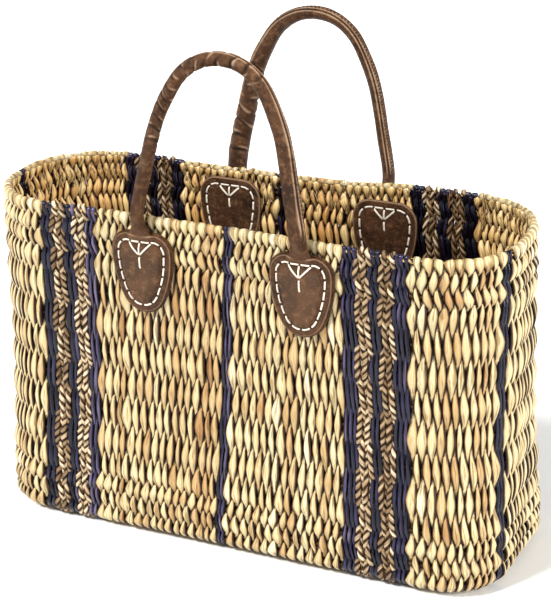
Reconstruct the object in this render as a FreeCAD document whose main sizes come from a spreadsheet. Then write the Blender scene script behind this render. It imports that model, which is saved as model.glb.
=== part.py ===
"""Woven market basket: straw wall with navy and rope stripes, woven base, two rolled leather handles.

Frame: millimetres, +Z up, origin on the floor at the middle of the base. X runs along the basket and
the front wall is at -Y. The wall is divided into staves, one for each stripe and each straw field
between stripes, threaded by the weft cords that run right round the basket inside the weave. Each
handle leg ends in a leather tongue, sewn between a backing and a shield-shaped patch on the outside
of the wall, with a second patch on the inside. The handles fold about the necks of their tongues.
"""
import FreeCAD, Part
import math
import os

import Sketcher

START, END, CENTRE = 1, 2, 3  # point numbers of a sketch edge
ORIGIN = (-1, 1)  # the sketch's own origin, as an edge and a point
UP = FreeCAD.Vector(0, 0, 1)
REACH = 400.0  # half size of a cutter, beyond every part of the wall

DIMS = {
    # outline of the wall's outer face at four heights: whole length and width, corner, shift to the right
    "rim_height": 300.0, "rim_length": 486.0, "rim_width": 160.0, "rim_corner": 72.0, "rim_shift": 0.0,
    "waist_height": 140.0, "waist_length": 489.0, "waist_width": 160.0, "waist_corner": 70.0,
    "waist_shift": 0.0, "hem_shift": 4.0, "sole_shift": 4.0,
    "hem_height": 16.0, "hem_length": 481.0, "hem_width": 182.0, "hem_corner": 52.0,
    "sole_height": 0.0, "sole_length": 473.0, "sole_width": 174.0, "sole_corner": 48.0,
    "wall": 9.0, "base_thick": 8.0, "base_play": 0.2, "stave_play": 0.1,
    # weft cords: short spacing below the rim and above the base, long spacing in between
    "rim_cord_drop": 5.0, "rim_cord_radius": 2.2, "cord_radius": 1.4, "cord_play": 0.3,
    "top_pitch": 15.0, "body_pitch": 27.6, "foot_pitch": 15.0, "base_cord_pitch": 30.0,
    # stripes: middle of each triple group and each single one, at the foot and at the rim; spacing, widths
    "left_group_foot": -153.0, "left_group_rim": -145.5, "right_group_foot": 144.0, "right_group_rim": 138.5,
    "front_middle_foot": -4.0, "front_middle_rim": 5.0, "back_middle_foot": -15.0, "back_middle_rim": -15.0,
    "right_end_foot": -50.0, "right_end_rim": -34.0, "left_end_foot": -4.0, "left_end_rim": -6.0,
    "stripe_pitch": 23.8, "navy_width": 10.0, "single_width": 8.0,
    # handles: half distance between the feet, sideways shift, lean into the basket, shape of the arch
    "front_spread": 74.0, "front_shift": 2.0, "front_lean": 7.7,
    "back_spread": 74.0, "back_shift": 8.0, "back_lean": -4.8,
    "leg_angle": 11.4, "leg_rise": 60.0, "top_radius": 48.5, "handle_rise": 135.0,
    "cover_radius": 7.6, "core_radius": 4.8, "core_play": 0.1, "core_start": 14.0,
    "axis_height": 305.0, "axis_stand_off": 8.4, "knuckle_length": 15.0, "saddle_play": 0.4,
    # leather patches and tongues, measured down from the patch's top edge
    "patch_top": 288.0, "patch_drop": 74.0, "patch_flat": 12.5, "patch_corner": 17.0, "patch_toe": 22.0,
    "patch_side": 95.0, "leather": 2.0, "backing_grow": 1.5, "tongue_inset": 11.0, "tongue_thick": 2.5,
    "neck_width": 22.0, "neck_thick": 5.5, "neck_top": 13.0, "neck_bottom": 0.4, "neck_root": 14.0,
    # waxed thread, and the decorative lines sewn inside the ring of stitches
    "thread": 1.1, "stitch_inset": 6.5, "stitch_length": 7.4, "stitch_space": 9.4,
    "motif_half": 12.5, "motif_top": 8.5, "motif_fork": 20.0, "motif_end": 34.0, "motif_gap": 2.2,
}
RINGS_BY_PITCH = (("top", 3), ("body", 7), ("foot", 3))  # cords below the rim cord, by their spacing
BASE_CORDS = 5
SIDES = {"front": -1, "back": 1}
ENDS = {"left": -1, "right": 1}

doc = FreeCAD.newDocument("market_basket")
sheet = doc.addObject("Spreadsheet::Sheet", "dims")
for row, (alias, value) in enumerate(DIMS.items(), start=1):
    sheet.set(f"A{row}", alias)
    sheet.set(f"B{row}", str(value))
    sheet.setAlias(f"B{row}", alias)
doc.recompute()
nodes = []


def dim(alias):
    """A driving dimension's value, read back from the sheet."""
    return float(getattr(sheet, alias))


def evaluate(expression):
    """The number that an expression of the sheet gives."""
    result = sheet.evalExpression(expression)
    return float(getattr(result, "Value", result))


def node(thing, label):
    """Marks a document object as a sub-part: its label names its STEP file."""
    thing.Label = label
    nodes.append(thing)
    return thing


def bind(thing, **expressions):
    """Binds properties to expressions of the sheet; a double underscore stands for a dot."""
    for name, expression in expressions.items():
        thing.setExpression(name.replace("__", "."), expression)
    return thing


def drive(sketch, constraint, name, expression):
    """Adds a named dimension to a sketch and binds it to the sheet."""
    sketch.renameConstraint(sketch.addConstraint(constraint), name)
    sketch.setExpression(f"Constraints.{name}", expression)


def loft(name, sections):
    """A closed solid with straight sides between sections."""
    thing = doc.addObject("Part::Loft", name)
    thing.Sections, thing.Solid, thing.Ruled = sections, True, True
    return thing


def sweep(name, profile, spine):
    """A solid of constant section along a spine."""
    thing = doc.addObject("Part::Sweep", name)
    thing.Sections, thing.Spine, thing.Solid = [profile], (spine, []), True
    return thing


def cut(name, base, tool):
    """One solid with another cut out of it."""
    thing = doc.addObject("Part::Cut", name)
    thing.Base, thing.Tool = base, tool
    return thing


def joined(kind, name, shapes):
    """Several solids fused, intersected or held as one group: kind is MultiFuse, MultiCommon or Compound."""
    thing = doc.addObject(f"Part::{kind}", name)
    if kind == "Compound":
        thing.Links = shapes
    else:
        thing.Shapes = shapes
    return thing


# ---------------------------------------------------------------- outline of the wall
LEVELS = ("sole", "hem", "waist", "rim")


def between_levels(height, what):
    """One of the outline's sizes at a height, as an expression between the levels below and above."""
    value = evaluate(height)
    low, high = next((a, b) for a, b in zip(LEVELS, LEVELS[1:]) if value <= dim(f"{b}_height"))
    share = f"(({height}) - dims.{low}_height) / (dims.{high}_height - dims.{low}_height)"
    return f"(dims.{low}_{what} + (dims.{high}_{what} - dims.{low}_{what}) * {share})"


def outline_at(height, inset="0"):
    """Half length, half width and corner radius at a height, as expressions, inset from the outer face."""
    scales = (("length", 0.5), ("width", 0.5), ("corner", 1))
    return tuple(f"{between_levels(height, what)} * {scale} - ({inset})" for what, scale in scales)


def rounded_rectangle(name, height, inset="0"):
    """A level sketch of the wall's outline at a height, with every size bound to the sheet."""
    expressions = outline_at(height, inset)
    a, b, r = (evaluate(e) for e in expressions)
    sketch = doc.addObject("Sketcher::SketchObject", name)
    centres = ((a - r, r - b, 270), (a - r, b - r, 0), (r - a, b - r, 90), (r - a, r - b, 180))
    sides = (((r - a, -b), (a - r, -b)), ((a, r - b), (a, b - r)),
             ((a - r, b), (r - a, b)), ((-a, b - r), (-a, r - b)))
    arcs = []
    for x, y, start in centres:
        circle = Part.Circle(FreeCAD.Vector(x, y, 0), UP, r)
        arcs.append(sketch.addGeometry(Part.ArcOfCircle(circle, math.radians(start), math.radians(start + 90))))
    lines = [sketch.addGeometry(Part.LineSegment(FreeCAD.Vector(*p, 0), FreeCAD.Vector(*q, 0)))
             for p, q in sides]
    for i in range(4):
        sketch.addConstraint(Sketcher.Constraint("Tangent", lines[i], END, arcs[i], START))
        sketch.addConstraint(Sketcher.Constraint("Tangent", arcs[i], END, lines[(i + 1) % 4], START))
    for i in range(3):
        sketch.addConstraint(Sketcher.Constraint("Equal", arcs[i], arcs[i + 1]))
    sketch.addConstraint(Sketcher.Constraint("Horizontal", lines[0]))
    for i in range(4):
        size, expression = ((b, expressions[1]), (a, expressions[0]))[i % 2]
        drive(sketch, Sketcher.Constraint("Distance", *ORIGIN, lines[i], size), f"side_{i}", expression)
    drive(sketch, Sketcher.Constraint("Radius", arcs[0], r), "corner", expressions[2])
    return bind(sketch, Placement__Base__x=between_levels(height, "shift"), Placement__Base__z=height)


# ---------------------------------------------------------------- weft cords and the wall ring
def level_ring(name, height, radius):
    """A closed cord of round section, laid level round the middle of the wall's thickness."""
    spine = rounded_rectangle(f"{name}_path", height, "dims.wall / 2")
    profile = doc.addObject("Part::Circle", f"{name}_section")
    profile.Placement.Rotation = FreeCAD.Rotation(FreeCAD.Vector(0, 1, 0), 90)
    half_width = outline_at(height, "dims.wall / 2")[1]
    bind(profile, Radius=radius, Placement__Base__y=f"-({half_width})", Placement__Base__z=height)
    return sweep(name, profile, spine)


def cord_heights():
    """Heights of the cords from the rim down, as expressions."""
    heights = ["dims.rim_height - dims.rim_cord_drop"]
    for pitch, count in RINGS_BY_PITCH:
        for _ in range(count):
            heights.append(f"{heights[-1]} - dims.{pitch}_pitch")
    return heights


def wall_parts():
    """The cords as two nodes, and the wall as one ring with a channel for every cord."""
    rings, channels = [], []
    for i, height in enumerate(cord_heights()):
        radius = "dims.cord_radius" if i else "dims.rim_cord_radius"
        rings.append(level_ring(f"ring_{i}", height, radius))
        channels.append(level_ring(f"channel_{i}", height, f"{radius} + dims.cord_play"))
    node(joined("Compound", "rim_ring", rings[:1]), "rim_cord")
    node(joined("Compound", "wefts", rings[1:]), "weft_cords")
    outer = loft("outer_form", [rounded_rectangle(f"outer_{n}", f"dims.{n}_height") for n in LEVELS])
    inner = loft("inner_form", [rounded_rectangle(f"inner_{n}", f"dims.{n}_height", "dims.wall")
                                for n in LEVELS])
    solid_ring = cut("wall_ring", outer, inner)
    return cut("channelled_ring", solid_ring, joined("Compound", "channels", channels))


# ---------------------------------------------------------------- staves
def slab(name, along, low, high, across):
    """A cutter between two leaning planes.

    along is X or Y; low and high are each a pair of expressions, at the foot and at the rim; across is
    the range on the other level axis, in units of REACH.
    """
    wedge = doc.addObject("Part::Wedge", name)
    tilt = FreeCAD.Rotation(FreeCAD.Vector(1, 0, 0), 90)
    turn = FreeCAD.Rotation(UP, 90 if along == "Y" else 0)
    wedge.Placement.Rotation = turn.multiply(tilt)
    near, far = (REACH * share for share in across)
    if along == "X":
        near, far = -far, -near
    wedge.Ymin, wedge.Ymax = 0, dim("rim_height")
    wedge.Zmin, wedge.Zmax, wedge.Z2min, wedge.Z2max = near, far, near, far
    wedge.Xmin, wedge.Xmax, wedge.X2min, wedge.X2max = -REACH, REACH, -REACH, REACH
    sizes = {"Ymax": "dims.rim_height"}
    if low:
        sizes["Xmin"], sizes["X2min"] = (f"{edge} + dims.stave_play" for edge in low)
    if high:
        sizes["Xmax"], sizes["X2max"] = (f"{edge} - dims.stave_play" for edge in high)
    return bind(wedge, **sizes)


def stave(name, ring, *cutters):
    """The stretch of the wall ring inside all the cutters."""
    return node(joined("MultiCommon", f"{name}_stave", [ring, *cutters]), name)


def group_edges(where):
    """The six edges of a triple stripe group, from left to right, each at the foot and at the rim."""
    width, pitch = "dims.navy_width / 2", "dims.stripe_pitch"
    offsets = (f"-{pitch} - {width}", f"-{pitch} + {width}", f"-{width}", f"{width}",
               f"{pitch} - {width}", f"{pitch} + {width}")
    return [tuple(f"dims.{where}_group_{level} + {o}" for level in ("foot", "rim")) for o in offsets]


def side_staves(ring, side, across):
    """The stripes and the two straw fields of the front or the back wall."""
    ranks = ("outer", "outer", "middle", "inner", "inner")
    for where, end in ENDS.items():
        edges = group_edges(where)
        for i, (low, high) in enumerate(zip(edges, edges[1:])):
            rank = ranks[i if end < 0 else 4 - i]
            name = f"{'rope' if i % 2 else 'navy'}_{side}_{where}_{rank}"
            stave(name, ring, slab(f"cut_{name}", "X", low, high, across))
    left, right = (tuple(f"dims.{side}_middle_{level} {sign} dims.single_width / 2"
                         for level in ("foot", "rim")) for sign in "-+")
    stave(f"navy_{side}_centre", ring, slab(f"cut_{side}_centre", "X", left, right, across))
    inner_left, inner_right = group_edges("left")[-1], group_edges("right")[0]
    stave(f"straw_{side}_left", ring, slab(f"cut_{side}_left", "X", inner_left, left, across))
    stave(f"straw_{side}_right", ring, slab(f"cut_{side}_right", "X", right, inner_right, across))


def end_staves(ring, where, end):
    """The single stripe at one end and the two straw fields that turn the corners beside it."""
    across = (0, 1) if end > 0 else (-1, 0)
    middle = [f"dims.{where}_end_{level}" for level in ("foot", "rim")]
    low, high = ([f"{m} {sign} dims.single_width / 2" for m in middle] for sign in "-+")
    stave(f"navy_{where}_end", ring, slab(f"cut_{where}_end", "Y", low, high, across))
    beyond = group_edges(where)[-1 if end > 0 else 0]
    limits = (beyond, None) if end > 0 else (None, beyond)
    for side, sign in SIDES.items():
        name = f"straw_corner_{side}_{where}"
        outward = slab(f"cut_{name}_x", "X", *limits, (-1, 1))
        halves = (None, low) if sign < 0 else (high, None)
        stave(name, ring, outward, slab(f"cut_{name}_y", "Y", *halves, across))


# ---------------------------------------------------------------- base
def woven_base():
    """The base mat inside the foot of the wall, on straight cords of its own."""
    inset = "dims.wall + dims.base_play"
    levels = [rounded_rectangle(f"base_{n}", h, inset) for n, h in (("sole", "0"), ("top", "dims.base_thick"))]
    mat = loft("base_form", levels)
    cords, bores = [], []
    for i in range(BASE_CORDS):
        place = f"dims.base_cord_pitch * {i - (BASE_CORDS - 1) / 2}"
        for group, play in ((cords, "0"), (bores, "dims.cord_play")):
            rod = doc.addObject("Part::Cylinder", f"base_rod_{i}")
            rod.Placement.Rotation = FreeCAD.Rotation(FreeCAD.Vector(0, 1, 0), 90)
            bind(rod, Radius=f"dims.cord_radius + {play}", Height="dims.sole_length - dims.sole_width",
                 Placement__Base__x="dims.sole_shift - (dims.sole_length - dims.sole_width) / 2",
                 Placement__Base__y=place,
                 Placement__Base__z="dims.base_thick / 2")
            group.append(rod)
    node(joined("Compound", "base_cord_group", cords), "base_cords")
    node(cut("bored_base", mat, joined("Compound", "base_bores", bores)), "woven_base")


# ---------------------------------------------------------------- handles
def arch_path(name, side, start):
    """The handle's centre line on the XZ plane of its own hinge axis: two legs, two sides and the top.

    start is an expression: how far up each leg the line begins.
    """
    angle, spread, start_height = math.radians(dim("leg_angle")), dim(f"{side}_spread"), evaluate(start)
    rise, leg, top = dim("handle_rise"), dim("leg_rise"), dim("top_radius")
    foot = FreeCAD.Vector(spread - start_height * math.tan(angle), start_height, 0)
    knee = FreeCAD.Vector(spread - leg * math.tan(angle), leg, 0)
    crown = FreeCAD.Vector(0, rise - top, 0)
    outward = FreeCAD.Vector(math.cos(angle), math.sin(angle), 0)
    offset = knee - crown
    radius = (offset.dot(offset) - top ** 2) / (2 * (offset.dot(outward) - top))
    shoulder = knee - outward * radius
    turn = math.atan2(crown.y - shoulder.y, crown.x - shoulder.x)

    def mirrored(point):
        return FreeCAD.Vector(-point.x, point.y, 0)
    sketch = doc.addObject("Sketcher::SketchObject", name)
    edges = [Part.LineSegment(foot, knee),
             Part.ArcOfCircle(Part.Circle(shoulder, UP, radius), angle, turn),
             Part.ArcOfCircle(Part.Circle(crown, UP, top), turn, math.pi - turn),
             Part.ArcOfCircle(Part.Circle(mirrored(shoulder), UP, radius), math.pi - turn, math.pi - angle),
             Part.LineSegment(mirrored(knee), mirrored(foot))]
    right, bend, arch, bend_left, left = (sketch.addGeometry(edge) for edge in edges)
    for a, b in ((right, bend), (bend, arch), (arch, bend_left), (bend_left, left)):
        sketch.addConstraint(Sketcher.Constraint("Tangent", a, END, b, START))
    sketch.addConstraint(Sketcher.Constraint("Symmetric", right, START, left, END, -2))
    sketch.addConstraint(Sketcher.Constraint("Symmetric", right, END, left, START, -2))
    sketch.addConstraint(Sketcher.Constraint("Equal", bend, bend_left))
    lean = "tan(dims.leg_angle * 1 deg)"
    drive(sketch, Sketcher.Constraint("DistanceY", *ORIGIN, right, START, foot.y), "foot_height", start)
    drive(sketch, Sketcher.Constraint("DistanceX", *ORIGIN, right, START, foot.x), "foot_place",
          f"dims.{side}_spread - ({start}) * {lean}")
    drive(sketch, Sketcher.Constraint("DistanceY", *ORIGIN, right, END, knee.y), "knee_height", "dims.leg_rise")
    drive(sketch, Sketcher.Constraint("DistanceX", *ORIGIN, right, END, knee.x), "knee_place",
          f"dims.{side}_spread - dims.leg_rise * {lean}")
    drive(sketch, Sketcher.Constraint("Radius", arch, top), "crown_radius", "dims.top_radius")
    drive(sketch, Sketcher.Constraint("DistanceY", *ORIGIN, arch, CENTRE, crown.y), "crown_height",
          "dims.handle_rise - dims.top_radius")
    sketch.Placement.Rotation = FreeCAD.Rotation(FreeCAD.Vector(1, 0, 0), 90)
    return sketch


def rod_along_arch(name, side, start, radius):
    """A round rod along the handle's centre line."""
    profile = doc.addObject("Part::Circle", f"{name}_section")
    profile.Placement.Rotation = FreeCAD.Rotation(FreeCAD.Vector(0, 1, 0), -dim("leg_angle"))
    bind(profile, Radius=radius, Placement__Base__z=start,
         Placement__Base__x=f"dims.{side}_spread - ({start}) * tan(dims.leg_angle * 1 deg)")
    return sweep(name, profile, arch_path(f"{name}_path", side, start))


def swing_into_place(thing, side, sign):
    """Moves a handle part from its hinge axis at the origin to its rest, leaning, on the basket."""
    lean = FreeCAD.Rotation(FreeCAD.Vector(1, 0, 0), sign * dim(f"{side}_lean"))
    thing.Placement = FreeCAD.Placement(FreeCAD.Vector(0, 0, 0), lean)
    return bind(thing, Placement__Base__x=f"dims.{side}_shift", Placement__Base__z="dims.axis_height",
                Placement__Base__y=f"{sign} * (dims.rim_width / 2 + dims.axis_stand_off)")


def handle(side, sign):
    """A rolled leather cover with a round knuckle at each foot, and the rope core inside it."""
    pieces = [rod_along_arch(f"{side}_cover_rod", side, "0", "dims.cover_radius")]
    for where, end in ENDS.items():
        knuckle = doc.addObject("Part::Cylinder", f"{side}_knuckle_{where}")
        knuckle.Placement.Rotation = FreeCAD.Rotation(FreeCAD.Vector(0, 1, 0), 90)
        bind(knuckle, Radius="dims.cover_radius", Height="dims.knuckle_length",
             Placement__Base__x=f"{end} * dims.{side}_spread - dims.knuckle_length / 2")
        pieces.append(knuckle)
    solid = joined("MultiFuse", f"{side}_cover_solid", pieces)
    hollow = rod_along_arch(f"{side}_hollow", side, "dims.core_start", "dims.core_radius + dims.core_play")
    cover = cut(f"{side}_cover_tube", solid, hollow)
    core = joined("Compound", f"{side}_core_group", [rod_along_arch(
        f"{side}_core_rod", side, "dims.core_start + dims.core_play", "dims.core_radius")])
    node(swing_into_place(cover, side, sign), f"{side}_handle_cover")
    node(swing_into_place(core, side, sign), f"{side}_handle_core")


# ---------------------------------------------------------------- leather patches and tongues
def new_body(name):
    return doc.addObject("PartDesign::Body", name)


def sketch_on(body, role, name, offset=None):
    """A sketch on one of the body's own origin planes, moved along the plane's normal by offset."""
    sketch = body.newObject("Sketcher::SketchObject", name)
    plane = next(p for p in body.Origin.OriginFeatures if p.Role == role)
    sketch.AttachmentSupport, sketch.MapMode = [(plane, "")], "FlatFace"
    if offset:
        bind(sketch, AttachmentOffset__Base__z=offset)
    return sketch


def meet(centre_a, radius_a, centre_b, radius_b):
    """The left one of the two points where two circles cross."""
    gap = centre_b - centre_a
    along = (radius_a ** 2 - radius_b ** 2 + gap.Length ** 2) / (2 * gap.Length)
    aside = math.sqrt(radius_a ** 2 - along ** 2)
    unit = gap.normalize()
    points = [centre_a + unit * along + FreeCAD.Vector(-unit.y, unit.x, 0) * side for side in (aside, -aside)]
    return min(points, key=lambda point: point.x)


def draw_shield(sketch, inset="0"):
    """The patch's outline: flat top, round corners, slightly bowed sides and a round toe."""
    shrink = evaluate(inset)
    flat, drop = dim("patch_flat"), dim("patch_drop")
    corner, side, toe = (dim(f"patch_{n}") for n in ("corner", "side", "toe"))
    shoulder, heel = FreeCAD.Vector(flat, -corner, 0), FreeCAD.Vector(0, toe - drop, 0)
    hub = meet(shoulder, side - corner, heel, side - toe)
    upper = math.atan2(shoulder.y - hub.y, shoulder.x - hub.x)
    lower = math.atan2(heel.y - hub.y, heel.x - hub.x)

    def arc(centre, radius, start, end):
        return Part.ArcOfCircle(Part.Circle(centre, UP, radius - shrink), start, end)

    def mirrored(point):
        return FreeCAD.Vector(-point.x, point.y, 0)
    edges = [Part.LineSegment(FreeCAD.Vector(-flat, -shrink, 0), FreeCAD.Vector(flat, -shrink, 0)),
             arc(shoulder, corner, upper, math.pi / 2), arc(hub, side, lower, upper),
             arc(heel, toe, math.pi - lower, lower + 2 * math.pi),
             arc(mirrored(hub), side, math.pi - upper, math.pi - lower),
             arc(mirrored(shoulder), corner, math.pi / 2, math.pi - upper)]
    top, corner_r, side_r, bottom, side_l, corner_l = (sketch.addGeometry(edge) for edge in edges)
    for a, a_point, b, b_point in ((top, END, corner_r, END), (corner_r, START, side_r, END),
                                   (side_r, START, bottom, END), (bottom, START, side_l, END),
                                   (side_l, START, corner_l, END), (corner_l, START, top, START)):
        sketch.addConstraint(Sketcher.Constraint("Tangent", a, a_point, b, b_point))
    sketch.addConstraint(Sketcher.Constraint("Equal", corner_r, corner_l))
    sketch.addConstraint(Sketcher.Constraint("Equal", side_r, side_l))
    sketch.addConstraint(Sketcher.Constraint("Symmetric", top, START, top, END, -2))
    sketch.addConstraint(Sketcher.Constraint("PointOnObject", bottom, CENTRE, -2))
    drive(sketch, Sketcher.Constraint("DistanceX", top, START, top, END, 2 * flat), "flat", "2 * dims.patch_flat")
    drive(sketch, Sketcher.Constraint("DistanceY", corner_r, CENTRE, *ORIGIN, corner), "shoulder",
          "dims.patch_corner")
    drive(sketch, Sketcher.Constraint("DistanceY", bottom, CENTRE, *ORIGIN, drop - toe), "heel",
          "dims.patch_drop - dims.patch_toe")
    for edge, name, value in ((corner_r, "corner", corner), (side_r, "side", side), (bottom, "toe", toe)):
        drive(sketch, Sketcher.Constraint("Radius", edge, value - shrink), f"{name}_radius",
              f"dims.patch_{name} - ({inset})")
    return sketch


def draw_strip(sketch, width, low, high):
    """An upright rectangle about the sketch's vertical axis, from low below the origin to high above it."""
    half, bottom, top = evaluate(width) / 2, -evaluate(low), evaluate(high)
    corners = [FreeCAD.Vector(x, y, 0) for x, y in ((-half, bottom), (half, bottom), (half, top), (-half, top))]
    lines = [sketch.addGeometry(Part.LineSegment(p, q)) for p, q in zip(corners, corners[1:] + corners[:1])]
    for i in range(4):
        sketch.addConstraint(Sketcher.Constraint("Coincident", lines[i], END, lines[(i + 1) % 4], START))
    for i, direction in ((1, "Vertical"), (2, "Horizontal"), (3, "Vertical")):
        sketch.addConstraint(Sketcher.Constraint(direction, lines[i]))
    sketch.addConstraint(Sketcher.Constraint("Symmetric", lines[0], START, lines[0], END, -2))
    drive(sketch, Sketcher.Constraint("DistanceX", lines[0], START, lines[0], END, 2 * half), "width", width)
    drive(sketch, Sketcher.Constraint("DistanceY", lines[0], START, *ORIGIN, -bottom), "low", low)
    drive(sketch, Sketcher.Constraint("DistanceY", *ORIGIN, lines[2], START, top), "high", high)
    return sketch


def pad(body, name, sketch, length):
    """A pad of the sketch, along its normal."""
    feature = body.newObject("PartDesign::Pad", name)
    feature.Profile = sketch
    bind(feature, Length=length)
    sketch.Visibility = False
    return feature


def pocket(body, name, sketch, length, reverse=False, midplane=False):
    """A pocket of the sketch; it cuts against the normal unless reversed."""
    feature = body.newObject("PartDesign::Pocket", name)
    feature.Profile, feature.Reversed, feature.Midplane = sketch, reverse, midplane
    bind(feature, Length=length)
    return feature


def plate(name, offset, inset, thick):
    """A flat shield-shaped leather piece; offset is its distance outward from the wall's outer face."""
    body = new_body(name)
    pad(body, f"{name}_pad", draw_shield(sketch_on(body, "XZ_Plane", f"{name}_outline", offset), inset), thick)
    return body


def tongue(name):
    """The flattened end of a handle leg: shield and strip under the patch, saddle neck above it."""
    body = plate(name, "dims.leather", "dims.tongue_inset", "dims.tongue_thick")
    strip = sketch_on(body, "XZ_Plane", f"{name}_strip", "dims.leather")
    pad(body, f"{name}_strip_pad",
        draw_strip(strip, "dims.neck_width", "dims.neck_root", "dims.neck_bottom"), "dims.tongue_thick")
    neck = sketch_on(body, "XZ_Plane", f"{name}_neck", "dims.leather")
    pad(body, f"{name}_neck_pad", draw_strip(neck, "dims.neck_width", "-dims.neck_bottom", "dims.neck_top"),
        "dims.neck_thick")
    saddle = sketch_on(body, "YZ_Plane", f"{name}_saddle")
    hinge = FreeCAD.Vector(-dim("axis_stand_off"), dim("axis_height") - dim("patch_top"), 0)
    radius = dim("cover_radius") + dim("saddle_play")
    circle = saddle.addGeometry(Part.Circle(hinge, UP, radius))
    drive(saddle, Sketcher.Constraint("DistanceX", circle, CENTRE, *ORIGIN, -hinge.x), "stand_off",
          "dims.axis_stand_off")
    drive(saddle, Sketcher.Constraint("DistanceY", *ORIGIN, circle, CENTRE, hinge.y), "height",
          "dims.axis_height - dims.patch_top")
    drive(saddle, Sketcher.Constraint("Radius", circle, radius), "radius", "dims.cover_radius + dims.saddle_play")
    pocket(body, f"{name}_saddle_cut", saddle, "2 * dims.neck_width", midplane=True)
    return body


def outer_patch(name):
    """The outside patch: a plate moulded over the tongue, with the tongue's room behind it."""
    body = plate(name, "dims.leather", "0", "dims.leather")
    grown = "dims.tongue_inset - dims.leather"
    raised = "dims.tongue_thick + dims.leather"
    shield = draw_shield(sketch_on(body, "XZ_Plane", f"{name}_bump", "dims.leather"), grown)
    pad(body, f"{name}_bump_pad", shield, raised)
    ridge = sketch_on(body, "XZ_Plane", f"{name}_ridge", "dims.leather")
    pad(body, f"{name}_ridge_pad",
        draw_strip(ridge, "dims.neck_width + 2 * dims.leather", "dims.neck_root", "0"), raised)
    room = draw_shield(sketch_on(body, "XZ_Plane", f"{name}_room", "dims.leather"), "dims.tongue_inset")
    pocket(body, f"{name}_room_cut", room, "dims.tongue_thick", reverse=True)
    throat = sketch_on(body, "XZ_Plane", f"{name}_throat", "dims.leather")
    pocket(body, f"{name}_throat_cut",
           draw_strip(throat, "dims.neck_width", "dims.neck_root", "dims.neck_bottom"),
           "dims.tongue_thick", reverse=True)
    return body


# ---------------------------------------------------------------- stitches
def stitch(start, end, front, back):
    """One closed loop of thread through the layers, from front to back along Y."""
    thread, run = dim("thread"), end - start
    outer = Part.makeBox(run.Length, back - front + 2 * thread, thread)
    inner = Part.makeBox(run.Length - 2 * thread, back - front, thread)
    outer.translate(FreeCAD.Vector(0, front - thread, -thread / 2))
    inner.translate(FreeCAD.Vector(thread, front, -thread / 2))
    loop = outer.cut(inner)
    loop.rotate(FreeCAD.Vector(0, 0, 0), FreeCAD.Vector(0, 1, 0), -math.degrees(math.atan2(run.y, run.x)))
    loop.translate(FreeCAD.Vector(start.x, 0, start.y))
    return loop


def stitch_run(points, front, back):
    """Stitches centred on the stretches between consecutive points."""
    half = dim("stitch_length") / 2
    loops = []
    for p, q in zip(points, points[1:]):
        middle, along = (p + q) * 0.5, (q - p).normalize() * half
        loops.append(stitch(middle - along, middle + along, front, back))
    return loops


def spaced(start, end):
    """Points from start to end, about one stitch space apart."""
    count = max(1, round((end - start).Length / dim("stitch_space")))
    return [start + (end - start) * (i / count) for i in range(count + 1)]


def stitch_group(ring_wire):
    """Every stitch of one attachment, in the patch's own frame: the ring, then the sewn motif."""
    leather = dim("leather")
    back = dim("wall") + leather
    border, bump = -2 * leather, -2 * leather - dim("tongue_thick")
    count = round(ring_wire.Length / dim("stitch_space"))
    loops = stitch_run(ring_wire.discretize(Number=count + 1), border, back)
    half, top, fork, end = (dim(f"motif_{n}") for n in ("half", "top", "fork", "end"))
    fork_point = FreeCAD.Vector(0, -fork, 0)
    for x, y in ((-half, -top), (half, -top), (0, -top), (0, -end)):
        tip = FreeCAD.Vector(x, y, 0)
        clear = fork_point + (tip - fork_point).normalize() * dim("motif_gap")
        loops += stitch_run(spaced(clear, tip), bump, back)
    return loops


def attachment(side, sign, where, end, ring_wire):
    """The four leather pieces and the stitches that fasten one handle leg to the wall."""
    name = f"{side}_{where}"
    pieces = [
        (plate(f"{name}_backing_body", None, "-dims.backing_grow", "dims.leather"), f"backing_{name}"),
        (tongue(f"{name}_tongue_body"), f"tongue_{name}"),
        (outer_patch(f"{name}_patch_body"), f"outer_patch_{name}"),
        (plate(f"{name}_lining_body", "-dims.wall - dims.leather", "0", "dims.leather"), f"inner_patch_{name}"),
    ]
    thread = doc.addObject("Part::Feature", f"{name}_thread")
    thread.Shape = Part.Compound(stitch_group(ring_wire))
    pieces.append((thread, f"stitching_{name}"))
    for piece, label in pieces:
        piece.Placement.Rotation = FreeCAD.Rotation(UP, 0 if sign < 0 else 180)
        bind(piece, Placement__Base__x=f"dims.{side}_shift + {end} * dims.{side}_spread",
             Placement__Base__y=f"{sign} * dims.rim_width / 2", Placement__Base__z="dims.patch_top")
        node(piece, label)


# ---------------------------------------------------------------- the whole basket
wall_ring = wall_parts()
side_staves(wall_ring, "front", (-1, 0))
side_staves(wall_ring, "back", (0, 1))
for end_name, end_sign in ENDS.items():
    end_staves(wall_ring, end_name, end_sign)
woven_base()
stitch_line = draw_shield(doc.addObject("Sketcher::SketchObject", "stitch_line"), "dims.stitch_inset")
doc.recompute()
for side_name, side_sign in SIDES.items():
    handle(side_name, side_sign)
    for end_name, end_sign in ENDS.items():
        attachment(side_name, side_sign, end_name, end_sign, stitch_line.Shape.Wires[0])
doc.recompute()

for thing in doc.Objects:
    if "Invalid" in thing.State or "Error" in thing.State:
        raise RuntimeError(f"{thing.Name} ({thing.Label}) failed: {thing.State}")
labels = [thing.Label for thing in nodes]
if len(set(labels)) != len(labels) or len(labels) > 60:
    raise RuntimeError(f"{len(labels)} nodes, {len(set(labels))} different names")
for thing in nodes:
    if thing.Shape.isNull() or not thing.Shape.isValid() or not thing.Shape.Solids:
        raise RuntimeError(f"{thing.Label} has a bad shape")

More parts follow.
